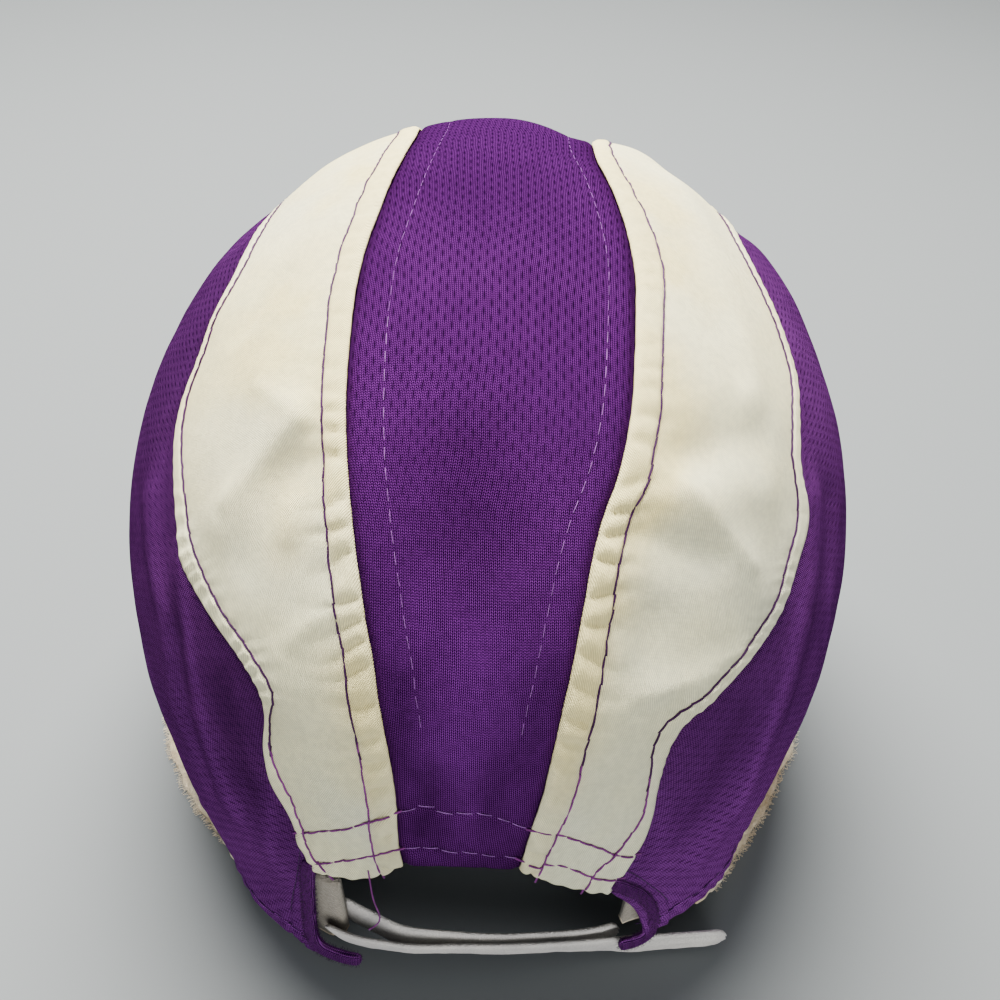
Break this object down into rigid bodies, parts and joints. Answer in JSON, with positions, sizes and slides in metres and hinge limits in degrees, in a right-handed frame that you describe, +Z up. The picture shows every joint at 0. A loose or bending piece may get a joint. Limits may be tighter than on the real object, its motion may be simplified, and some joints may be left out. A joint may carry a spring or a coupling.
{
  "type": "running cap",
  "caption": "Soft running cap with mesh and white cloth panels, a bowed peak, a sweatband and a rear opening closed by a strap.",
  "frame": {"origin": "middle of the bounding box, at its base on the floor", "axes": "+Z up, peak towards -Y, rear opening towards +Y, +X to the wearer's left"},
  "size_m": [0.168, 0.2623, 0.1529],
  "materials": {
    "purple_mesh": "knitted mesh with a dull sheen",
    "cream_cloth": "fine woven, stained along the seams",
    "stained_terry": "soft brushed, yellowed",
    "strap_cloth": "short looped pile"
  },
  "bodies": {
    "root": {"centre_panel": "purple_mesh", "white_panel_left": "cream_cloth", "white_panel_right": "cream_cloth", "side_panel_left": "purple_mesh", "side_panel_right": "purple_mesh", "sweatband": "stained_terry", "peak": "cream_cloth", "closure_strap_outer": "strap_cloth", "closure_strap_inner": "strap_cloth"}
  },
  "joints": []
}
